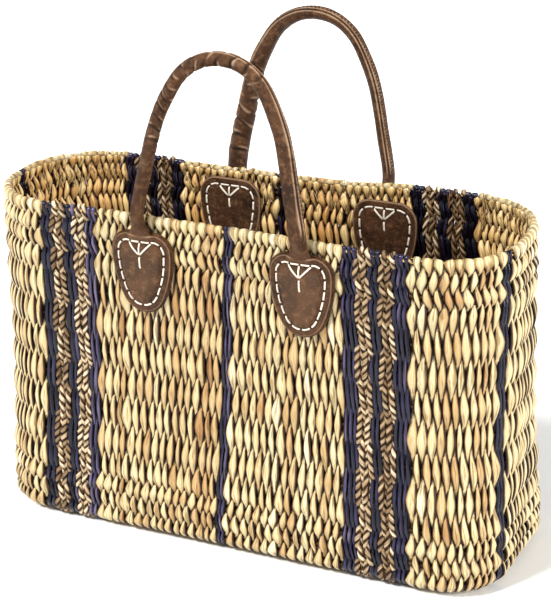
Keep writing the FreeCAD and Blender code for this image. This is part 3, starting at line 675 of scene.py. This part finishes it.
def group(side, where):
    """The five staves of a group of stripes, in order round the wall."""
    middle = RIGHT_GROUP if where == "right" else LEFT_GROUP
    edges = [(side, shifted(middle, offset * MM)) for offset in GROUP_EDGES[side, where]]
    order = RANKS if (side == "front") == (where == "right") else RANKS[::-1]
    if side == "back":
        edges = edges[::-1]
    return [((f"{kind}_{side}_{where}_{rank}", kind), edges[i], edges[i + 1])
            for i, (kind, rank) in enumerate(order)]


def single(name, side, middle, first):
    """A single navy stripe; first is the offset of the edge that comes first round the wall."""
    return [((name, "navy"), (side, shifted(middle, first)), (side, shifted(middle, -first)))]


def stave_plan():
    """Every stave in order round the wall: its node and kind, and its two edges."""
    half = SINGLE / 2
    plan = single("navy_front_centre", "front", FRONT_MIDDLE, -half)
    for name, stripes in (
            ("front_right", group("front", "right")),
            ("corner_front_right", single("navy_right_end", "right", RIGHT_END, -half)),
            ("corner_back_right", group("back", "right")),
            ("back_right", single("navy_back_centre", "back", BACK_MIDDLE, half)),
            ("back_left", group("back", "left")),
            ("corner_back_left", single("navy_left_end", "left", LEFT_END, half)),
            ("corner_front_left", group("front", "left")),
            ("front_left", plan[:1])):
        plan += [((f"straw_{name}", "straw"), plan[-1][2], stripes[0][1]), *stripes]
    return plan[:-1]


def edge(where, lap):
    """A stave edge as a function of height, one whole turn further on where lap says so."""
    side, ends = where
    return lambda z: around(side, ends, z) + lap * perimeter(z)


def wall_of_strands():
    """All the staves, strand by strand. The weave's two phases alternate all the way round."""
    plan = stave_plan()
    middle = np.array([160 * MM])
    total, tone = 0, 0.5
    for position, ((node, kind), *sides) in enumerate(plan):
        shape = KINDS[kind]
        low, high = (edge(where, int(where[0] == "front" and position > len(plan) / 2))
                     for where in sides)
        span = float(high(middle)[0] - low(middle)[0])
        pitch = shape["pitch"] * MM
        count = ROPES if kind == "rope" else max(2, round(span / pitch))
        if kind == "navy":
            count += count % 2
        if position == len(plan) - 1 and (total + count) % 2:
            count += 1
        widths = np.clip(random.normal(1, shape["spread"], count), 0.68, 1.38)
        margin = shape["margin"] * MM / span
        ends = margin + (1 - 2 * margin) * np.concatenate([[0], np.cumsum(widths / widths.sum())])
        bundle = Bundle()
        for i in range(count):
            tone = 0.35 * tone + 0.65 * uniform(0, 1)
            tint = 0.32 + 0.68 * tone if node in PALE_NODES else tone
            phase = 1 - 2 * ((total + i) % 2)
            share, width = (ends[i] + ends[i + 1]) / 2, (ends[i + 1] - ends[i]) * span / pitch
            if kind == "rope":
                rope_strand(bundle, low, high, share, phase, tint, min(width, 1.05))
            else:
                flat_strand(bundle, kind, low, high, share, phase, tint, width)
        for end in ends:
            filler(bundle, low, high, end, shape["filler"] * pitch)
        if "back" in node:
            for _ in range(int(span / (1.6 * MM))):
                loose_fibre(bundle, low, high, uniform(0.02, 0.98))
        total += count
        place(bundle.build(f"{node}_strands", shape["material"]), "basket", shape["slot"], node)


wall_of_strands()


# ---- weft cords, rim cord and base mat
RIM_CORD, WEFT_CORD = 2.3 * MM, 1.5 * MM  # radii
CORD_RINGS, CORD_TURNS = 420, 95  # rings round the wall, and turns of a cord's twist
BASE_PITCH, BASE_ROWS, BASE_Z = 5.2 * MM, 30 * MM, 4 * MM  # between strands, between cords, height
BASE_CORD = 149.5 * MM  # half its length


def ring_cord(bundle, z, radius):
    """A closed twisted cord round the middle of the wall."""
    turn = np.arange(CORD_RINGS) / CORD_RINGS
    points, normals, runs = outline(turn * perimeter(np.array([z]))[0], np.full(CORD_RINGS, z))
    points = settle(points - normals * WALL / 2)
    up = np.cross(runs, normals)
    twist = (turn * TAU * CORD_TURNS)[:, None]
    bundle.tube(points, turned(normals, up, twist) * radius * 1.12,
                turned(up, -normals, twist) * radius * 0.86, 8, uniform(0, 1), closed=True,
                grain=np.sin(np.arange(CORD_RINGS) * 0.9))


def wall_cords():
    """The rim cord and the ring of weft cord under each row of the weave."""
    rim, wefts = Bundle(), Bundle()
    for i, z in enumerate(CORD_Z):
        ring_cord(wefts if i else rim, z, WEFT_CORD if i else RIM_CORD)
    place(rim.build("rim_cord_twist", STRAW), "basket", "weft_cord", "rim_cord")
    place(wefts.build("weft_cord_twists", CORD), "basket", "weft_cord", "weft_cords")


def base_mat():
    """The mat in the foot of the wall: strands across it, over and under cords along it."""
    mat, cords = Bundle(), Bundle()
    a, b, r, shift = (float(value[0]) for value in profile(np.array([BASE_Z])))
    a, b, r = a - WALL - 0.4 * MM, b - WALL - 0.4 * MM, r - WALL
    count = int(2 * a / BASE_PITCH)
    forward, across, up = np.eye(3)
    tone = 0.5
    for i in range(count):
        x = -a + (i + 0.5) * 2 * a / count
        past = max(abs(x) - (a - r), 0)
        reach = b - r + math.sqrt(max(r * r - past * past, 0))
        y = np.linspace(-reach, reach, max(9, int(reach / (1.6 * MM))))
        wave = (1 - 2 * (i % 2)) * np.cos(math.pi * y / BASE_ROWS)
        swell = np.abs(wave) ** 1.2
        line = np.stack([np.full_like(y, x + shift), y, BASE_Z + 1.7 * MM * wave], axis=-1)
        line[:, 0] += 0.3 * MM * np.sin(y * 90 + i)
        tone = 0.4 * tone + 0.6 * uniform(0, 1)
        ends = np.minimum(1, (reach - np.abs(y)) / (6 * MM)) * 0.5 + 0.5
        wide = forward * ((2.1 + 2.4 * swell) * MM * ends)[:, None]
        deep = up * ((1.55 + 0.15 * swell) * MM * ends)[:, None]
        mat.tube(line, wide, -deep, 10, tone, wave, (3, 0.06, uniform(0, TAU)))
    for i in range(-2, 3):
        x = np.linspace(-BASE_CORD, BASE_CORD, 160)
        line = np.stack([x + shift, 0 * x + i * BASE_ROWS, 0 * x + BASE_Z], axis=-1)
        twist = (x * 900)[:, None]
        cords.tube(line, turned(across, up, twist) * 1.5 * MM,
                   turned(up, -across, twist) * 1.1 * MM, 8, uniform(0, 1))
    place(mat.build("base_mat_strands", STRAW), "basket", "straw", "woven_base")
    place(cords.build("base_cord_twists", CORD), "basket", "weft_cord", "base_cords")


wall_cords()
base_mat()


# ---- leather patches and their stitches
PATCH_TOP, PATCH_DEEP = 288 * MM, 74 * MM
FLAT_HALF, CORNER_RADIUS, SIDE_RADIUS, TOE_RADIUS = 12.5 * MM, 17 * MM, 95 * MM, 22 * MM
RING_INSET, STITCH_LENGTH, STITCH_PITCH = 6.5 * MM, 8.6 * MM, 9.8 * MM
WALL_FACE = 80 * MM
LEGS = {"front": (2 * MM, 74 * MM), "back": (8 * MM, 74 * MM)}  # middle and half spread
SIGN = {"front": -1, "back": 1}
HINGE_Z, HINGE_Y = 305 * MM, 88.4 * MM
# rings of the sheets, from the edge inwards
PATCH_INSETS = np.array([0, 0, 0.25, 0.7, 1.4, 2.5, 3.8, 5.0, 5.7, 6.2, 6.6, 7.0, 7.6, 8.4, 9.4,
                         10.6, 12, 13.4]) * MM
BACKING_INSETS = np.array([0, 0, 0.3, 1.0, 3.0, 8.0]) * MM
BACKING_HEIGHTS = np.array([0, 1.3, 1.75, 1.95, 2.0, 2.0]) * MM
BACKING_GROWN, OUTER_START = 1.5 * MM, 1.9 * MM  # past the patch, and the patch edge's height
CLOSING = (0.84, 0.66, 0.48, 0.30, 0.14, 0.0)  # the last rings, as shares of the way out
STITCH_RINGS = 9


def patch_outline():
    """Points and outward normals round a patch, from the middle of its top edge, in its plane."""
    corner, toe = np.array([FLAT_HALF, -CORNER_RADIUS]), np.array([0, TOE_RADIUS - PATCH_DEEP])
    # the side arc holds both the corner arc and the toe arc inside it
    first, second = SIDE_RADIUS - CORNER_RADIUS, SIDE_RADIUS - TOE_RADIUS
    gap = toe - corner
    length = np.linalg.norm(gap)
    along = (first ** 2 - second ** 2 + length ** 2) / (2 * length)
    aside = math.sqrt(first ** 2 - along ** 2)
    step = gap / length
    side = corner + step * along + np.array([step[1], -step[0]]) * aside
    turns = [math.atan2(*(centre - side)[::-1]) for centre in (corner, toe)]
    points = [(x, 0) for x in np.linspace(0, FLAT_HALF, 14)[:-1]]
    normals = [(0, 1)] * len(points)
    arcs = ((corner, CORNER_RADIUS, math.pi / 2, turns[0], 26), (side, SIDE_RADIUS, *turns, 44),
            (toe, TOE_RADIUS, turns[1], -math.pi / 2, 27))
    for centre, radius, start, end, count in arcs:
        for normal in spokes(start, end, count)[:-1]:
            points.append(centre + radius * normal)
            normals.append(normal)
    halves = np.array([[*points, (0, -PATCH_DEEP)], [*normals, (0, -1)]])
    return np.concatenate([halves, halves[:, -2:0:-1] * (-1, 1)], axis=1)


EDGE, EDGE_NORMALS = patch_outline()


def leather_height(u, v, inset, inner):
    """How far the leather stands off the weave at a point of the patch, and its shade value of
    painted light and shade.
    """
    top, dome = (2.0, 0.7) if inner else (4.0, 2.9)
    inset = inset / MM
    height = top + dome * smooth((inset - 6.6) / 6.0)
    if not inner:  # the neck lifts the top edge where it comes in under the patch
        neck = smooth((15 - np.abs(u) / MM) / 7) * smooth((v / MM + 17) / 14)
        height = np.maximum(height, top + 2.7 * neck)
    height = height - 0.5 * hump(inset, 6.5, 1.0)
    height -= 1.1 * np.exp(-inset / 0.35)
    wave = np.sin(u * 310 + 1.3 * np.sin(v * 140)) * np.sin(v * 190 + u * 60)
    height += 0.16 * wave * smooth(inset / 4)
    # the stitches pucker the leather round the toe
    fan = np.sin(np.arctan2(u, -(v + 38 * MM)) * 26) * smooth((-v / MM - 42) / 14)
    height += 0.38 * fan * smooth((inset - 6.8) / 2) * smooth((19 - inset) / 9)
    # painted shade in the stitch groove, a paler line just inside the edge, and a painted highlight
    # where the dome stands high
    shading_and_wear = 0.5 - 0.42 * hump(inset, 6.6, 1.0) + 0.35 * hump(inset, 0.7, 0.6)
    return height * MM, shading_and_wear + 0.16 * smooth((height - top) / 2.5)


def patch_points(foot, u, v, height):
    """A point of a patch in the frame: u across, v down from its top edge, height off the weave.

    foot is the side and end that the patch is at, and whether it is inside the wall. The outer
    patches were cut a little smaller than the inner ones.
    """
    side, where, inner = foot
    middle, spread = LEGS[side]
    scale, drop = (1.03, 0.0) if inner else (0.945, (2.5 if where == "right" else 3.5) * MM)
    depth = WALL_FACE - WALL - height if inner else WALL_FACE + height
    if inner and side == "back" and where == "right":  # this one was sewn on out of line
        middle, drop = middle + 3.5 * MM, 2.5 * MM
    x = middle + (spread if where == "right" else -spread) + u * scale
    return np.stack([x, SIGN[side] * depth, PATCH_TOP - drop + v * scale], axis=-1)


def sheet_rings(insets, grown=0.0):
    """Rings round a patch's shape from its edge to its middle line, and how far in each one is."""
    spine = np.stack([np.zeros(len(EDGE)), np.clip(EDGE[:, 1], -46 * MM, -22 * MM)], axis=-1)
    rings = [EDGE - EDGE_NORMALS * (inset - grown) for inset in insets]
    last = rings[-1]
    rings += [spine + (last - spine) * share for share in CLOSING]
    return rings, [*insets, *(insets[-1] + (1 - share) * 8 * MM for share in CLOSING)]


def leather_sheet(bundle, foot, rings, heights, wear_and_shading):
    """A sheet of leather through rings of points, at heights off the weave."""
    points = [patch_points(foot, *ring.T, height) for ring, height in zip(rings, heights)]
    faces = grid_faces(len(rings), len(EDGE))
    if (foot[0] == "back") == foot[2]:
        faces = faces[:, ::-1]
    bundle.sheet(np.array(points), faces, wear_and_shading)


def backing(bundle, foot):
    """The leather under an outer patch, a little larger than the patch and flat."""
    rings, _ = sheet_rings(BACKING_INSETS, BACKING_GROWN)
    heights = np.pad(BACKING_HEIGHTS, (0, len(CLOSING)), mode="edge")
    heights = np.repeat(heights[:, None], len(EDGE), axis=1)
    leather_sheet(bundle, foot, rings, heights, np.full_like(heights, 0.40))


def patch(bundle, foot):
    """A shield-shaped patch, outside or inside the wall. The outer ones are a little darker."""
    inner = foot[2]
    rings, depths = sheet_rings(PATCH_INSETS)
    pairs = [leather_height(*ring.T, np.full(len(EDGE), depth), inner)
             for ring, depth in zip(rings, depths)]
    heights, shading_and_wear = (np.array(values) for values in zip(*pairs))
    heights[0] = 0.0 if inner else OUTER_START
    leather_sheet(bundle, foot, rings, heights, shading_and_wear if inner else shading_and_wear - 0.08)


def dash(bundle, foot, line):
    """One stitch along a line of the patch, dipping into the leather at both ends."""
    length = distances(line)
    u, v = points_at(np.linspace(0, length[-1], STITCH_RINGS), length, line).T
    inset = np.array([np.min(np.hypot(EDGE[:, 0] - a, EDGE[:, 1] - b)) for a, b in zip(u, v)])
    height, _ = leather_height(u, v, inset, foot[2])
    height = height + (0.62 - 1.4 * np.abs(np.linspace(-1, 1, STITCH_RINGS)) ** 8) * MM
    path = patch_points(foot, u, v, height)
    path[:, 0] += uniform(-0.2, 0.2) * MM
    out = np.array([0, SIGN[foot[0]] * (-1 if foot[2] else 1), 0])
    across = unit(np.cross(unit(np.gradient(path, axis=0)), out))
    bundle.tube(path, across * 0.82 * MM, out * 0.62 * MM * np.ones((STITCH_RINGS, 1)), 8,
                uniform(0, 1), lobes=(2, 0.08, uniform(0, TAU)))


def stitches(bundle, foot):
    """The ring of dashes and the forked mark below its top."""
    ring = EDGE - EDGE_NORMALS * RING_INSET
    ring = np.concatenate([ring, ring[:1]])
    length = distances(ring)
    count = round(length[-1] / STITCH_PITCH)
    for i in range(count):
        start = (i + 0.1) * length[-1] / count + uniform(-0.3, 0.3) * MM
        steps = np.mod(start + np.linspace(0, STITCH_LENGTH, 7), length[-1])
        dash(bundle, foot, points_at(steps, length, ring))
    # the mark on an inner patch is smaller
    spread, drop = (9.5, 9.0) if foot[2] else (11, 11.5)
    top = -7.5
    fork = top - drop
    for mark in ((-spread, top, 0, fork), (spread, top, 0, fork), (0, top, 0, fork),
                 (0, top - 1.5 - drop, 0.6, top - 1.3 - 2 * drop)):
        dash(bundle, foot, np.reshape(mark, (2, 2)) * MM)


def patches():
    """Backing, outer patch, inner patch and stitching at each of the four handle feet."""
    for side, where in ((s, w) for s in ("front", "back") for w in ("left", "right")):
        under, outer, inner, thread = (Bundle() for _ in range(4))
        backing(under, (side, where, False))
        for bundle, inside in ((outer, False), (inner, True)):
            patch(bundle, (side, where, inside))
            stitches(thread, (side, where, inside))
        for bundle, node in ((under, "backing"), (outer, "outer_patch"), (inner, "inner_patch")):
            name = f"{node}_{side}_{where}"
            place(bundle.build(f"{name}_leather", LEATHER), "basket", "leather", name)
        name = f"stitching_{side}_{where}"
        place(thread.build(f"{name}_thread", THREAD), "basket", "waxed_thread", name)


# ---- handles
LEG_ANGLE, LEG_RISE = math.radians(11.4), 60 * MM
TOP_RADIUS, HANDLE_RISE = 48.5 * MM, 135 * MM
HANDLE_STEP, HANDLE_SIDES = 0.9, 56  # mm between rings, and points round each
HANDLES = {  # half widths and the seam's angle go from the left foot to the right one
    "front": {"lean": math.radians(7.7), "across": (5.8, 6.0, 6.0, 5.9, 6.5, 7.1, 7.2),
              "seam": (-90, -60, -30, -5, 14, 24, 16), "creased": (0.22, 0.62)},
    "back": {"lean": math.radians(-4.8), "across": (9.2, 8.6, 7.0, 5.8, 5.6, 5.6, 5.6),
             "seam": (10, 16, 40, 58, 62, 64, 66), "creased": (0.05, 0.34)},
}
# the neck's height and how far it stands from the basket's middle, in mm
NECK = ((260, 282, 288, 293, 297, 301, 305), (84.1, 84.2, 84.9, 86.0, 87.0, 87.9, 88.4))


def handle_line(side):
    """The handle's centre line from under the left patch, over the top and under the right one."""
    middle, spread = LEGS[side]
    sign, lean = SIGN[side], HANDLES[side]["lean"]
    knee = np.array([spread - LEG_RISE * math.tan(LEG_ANGLE), LEG_RISE])
    crown = np.array([0, HANDLE_RISE - TOP_RADIUS])
    outward = spokes(LEG_ANGLE, 0, 1)[0]
    offset = knee - crown
    radius = (offset @ offset - TOP_RADIUS ** 2) / (2 * (offset @ outward - TOP_RADIUS))
    shoulder = knee - outward * radius
    turn = math.atan2(crown[1] - shoulder[1], crown[0] - shoulder[0])
    half = [np.array([spread - h * math.tan(LEG_ANGLE), h])
            for h in np.linspace(4 * MM, LEG_RISE, 60)[:-1]]
    half += [shoulder + radius * spoke for spoke in spokes(LEG_ANGLE, turn, 59)[:-1]]
    half += [crown + TOP_RADIUS * spoke for spoke in spokes(turn, math.pi / 2, 59)]
    half = np.array(half)
    x, up = np.concatenate([half * (-1, 1), half[-2::-1]]).T
    line = np.stack([x + middle, sign * HINGE_Y - sign * up * math.sin(lean),
                     HINGE_Z + up * math.cos(lean)], axis=-1)
    z = np.linspace(260 * MM, 303 * MM, 40)
    neck = np.stack([np.full_like(z, -spread + middle), sign * (np.interp(z / MM, *NECK) * MM), z],
                    axis=-1)
    other = neck[::-1].copy()
    other[:, 0] += 2 * spread
    line = np.concatenate([neck, line, other])
    # even steps, with the corners softened
    length = distances(line)
    steps = np.linspace(0, length[-1], int(length[-1] / (HANDLE_STEP * MM)))
    padded = np.pad(points_at(steps, length, line), ((12, 12), (0, 0)), mode="reflect",
                    reflect_type="odd")
    return np.stack([np.convolve(column, averaging(12, 4.0), mode="valid") for column in padded.T],
                    axis=-1)


def handle_relief(facts, share, high, angle):
    """How the seam, folds and wrinkles swell a handle at each point, and its shade value: painted
    highlights and painted shade, with some real paling from use.
    """
    knots = np.linspace(0, 1, len(facts["seam"]))
    seam = np.radians(np.interp(share, knots, facts["seam"]))[:, None]
    away = (angle - seam + math.pi) % TAU - math.pi
    above = smooth((high + 4) / 10)[:, None]
    lip = hump(away, -0.24, 0.13) + 1.2 * hump(away, 0.22, 0.14)
    groove = hump(away, 0, 0.10)
    first, last = facts["creased"]
    creased = (smooth((share - first) / 0.05) * smooth((last - share) / 0.05))[:, None]
    along = share[:, None] * len(share) * HANDLE_STEP
    turn = (along / 10.5 + angle / TAU + 0.35 * np.sin(along / 23)
            + 0.15 * np.sin(angle * 2 + along / 9)) % 1
    spiral = hump(turn, 0.5, 0.10) * (0.25 + creased)
    spiral *= 0.5 + 0.5 * np.sin(angle * 1.5 + along / 13 + 1)
    # thin pale lines along the spiral, in colour only: painted highlights
    highlight_line = hump(turn, 0.70, 0.10) * creased
    highlight_line *= 0.5 + 0.5 * np.sin(angle * 3 + along / 4.1)
    wrinkle = np.sin(along * 2.1 + 3 * np.sin(angle * 3)) * np.sin(angle * 7 + along * 0.25)
    beside = hump(away, -0.62, 0.30) * above
    lumps = np.sin(along / 7.3 + 2 * np.sin(angle)) * np.sin(angle * 2 + along / 19)
    swell = (1 + above * (0.07 * lip - 0.14 * groove - 0.13 * spiral + 0.035 * lumps)
             + 0.04 * wrinkle * beside)
    # painted highlights on the seam's lip, the highlight lines and the rises of the wrinkles and
    # lumps; painted shade in the seam's groove, the spiral creases and the hollows
    shading_and_wear = np.clip(0.5 + above * (0.40 * lip - 0.5 * groove - 0.55 * spiral + 0.45 * highlight_line)
                   + 0.45 * wrinkle * beside + 0.10 * lumps, 0, 1)
    return swell, shading_and_wear


def handle_leather(side):
    """One rolled leather handle, flat where it is sewn in and round above, with its long seam."""
    sign, facts = SIGN[side], HANDLES[side]
    line = handle_line(side)
    rings, sides = len(line), HANDLE_SIDES
    share = np.linspace(0, 1, rings)
    high = (line[:, 2] - HINGE_Z) / MM
    tangent = unit(np.gradient(line, axis=0))
    tilt = facts["lean"] * -sign * smooth(high / 12)
    facing = np.stack([0 * tilt, -np.cos(tilt), np.sin(tilt) * sign], axis=-1)
    facing = unit(facing - tangent * np.sum(facing * tangent, axis=1, keepdims=True))
    outer = np.cross(facing, tangent)
    # the flat tongue turns into the round leg
    leg = np.interp(share, np.linspace(0.12, 0.88, len(facts["across"])), facts["across"])
    rounding = np.interp(high, (-24, -20, -17, -13, -8), (0.0, 0.12, 0.50, 0.90, 1.0))
    wide = 11.0 * (1 - rounding) + leg * rounding
    deep = np.interp(high, (-23, -18, -13, -9, -4, 2), (1.7, 3.4, 5.0, 6.2, 7.1, 7.6))
    deep = np.minimum(deep, np.minimum(leg, 7.6))
    angle = (np.arange(sides) / sides * TAU)[None, :]
    swell, shading_and_wear = handle_relief(facts, share, high, angle)
    ring = (line[:, None] + outer[:, None] * (np.cos(angle) * swell * wide[:, None] * MM)[..., None]
            + facing[:, None] * (np.sin(angle) * swell * deep[:, None] * MM)[..., None])
    caps = []
    for start in (0, (rings - 1) * sides):
        for i in range(1, sides // 2):
            quad = [start + i - 1, start + i, start + sides - 1 - i, start + (sides - i) % sides]
            caps.append(quad[::-1] if start else quad)
    bundle = Bundle()
    bundle.sheet(ring, np.concatenate([grid_faces(rings, sides), caps]), shading_and_wear)
    made = bundle.build(f"{side}_handle_leather", LEATHER)
    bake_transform(made)
    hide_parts(f"{side}_handle_cover", f"{side}_handle_core", f"tongue_{side}_left",
                f"tongue_{side}_right")


patches()
handle_leather("front")
handle_leather("back")


# ---- stage and camera
FLOOR_HALF, FLOOR_TONE, SKY = 30.0, (0.86, 0.86, 0.86, 1), 0.50
# name, place, power and breadth
LAMPS = (("key", (-1.2, -1.7, 2.2), 4.2, 11), ("fill", (2.4, -0.2, 1.0), 3.6, 30))
LAMP_TONE = (1.0, 0.985, 0.96)
TARGET, DISTANCE, LENS, SENSOR = Vector((0.0119, 0, 0.2071)), 1.6932, 116.63, 36.0
AZIMUTH, ELEVATION, ROLL = math.radians(26.2), math.radians(21.7), math.radians(-1.27)


def stage():
    """A pale floor, and soft light from the upper left and the right."""
    floor_mesh = bpy.data.meshes.new("floor")
    corners = [(x * FLOOR_HALF, y * FLOOR_HALF, 0) for x, y in ((-1, -1), (1, -1), (1, 1), (-1, 1))]
    floor_mesh.from_pydata(corners, [], [(0, 1, 2, 3)])
    floor = bpy.data.objects.new("floor", floor_mesh)
    bpy.context.scene.collection.objects.link(floor)
    paper = Shader("paper", 0.9)
    paper.shader.inputs["Base Color"].default_value = FLOOR_TONE
    floor_mesh.materials.append(paper.material)
    world = bpy.data.worlds.new("studio")
    bpy.context.scene.world = world
    world.use_nodes = True
    sky = world.node_tree.nodes["Background"].inputs
    sky["Color"].default_value = (1.0, 1.0, 1.0, 1)
    sky["Strength"].default_value = SKY
    for name, spot, power, breadth in LAMPS:
        lamp = bpy.data.lights.new(name, "SUN")
        lamp.energy, lamp.angle, lamp.color = power, math.radians(breadth), LAMP_TONE
        made = bpy.data.objects.new(name, lamp)
        made.location = spot
        made.rotation_mode = "QUATERNION"
        made.rotation_quaternion = (-Vector(spot)).to_track_quat("-Z", "Y")
        bpy.context.scene.collection.objects.link(made)


def camera():
    """The viewer: round to the right of the front and up, tipped a little."""
    back = Vector((math.sin(AZIMUTH) * math.cos(ELEVATION),
                   -math.cos(AZIMUTH) * math.cos(ELEVATION), math.sin(ELEVATION)))
    right = Vector((math.cos(AZIMUTH), math.sin(AZIMUTH), 0))
    up = back.cross(right)
    axes = (right * math.cos(ROLL) + up * math.sin(ROLL),
            up * math.cos(ROLL) - right * math.sin(ROLL), back)
    eye = TARGET + back * DISTANCE
    data = bpy.data.cameras.new("camera")
    data.lens, data.sensor_width = LENS, SENSOR
    made = bpy.data.objects.new("camera", data)
    made.matrix_world = Matrix([[*(axis[i] for axis in axes), eye[i]] for i in range(3)]
                               + [[0, 0, 0, 1]])
    bpy.context.scene.collection.objects.link(made)
    bpy.context.scene.camera = made


stage()
camera()
bpy.context.scene.view_settings.view_transform = "Standard"
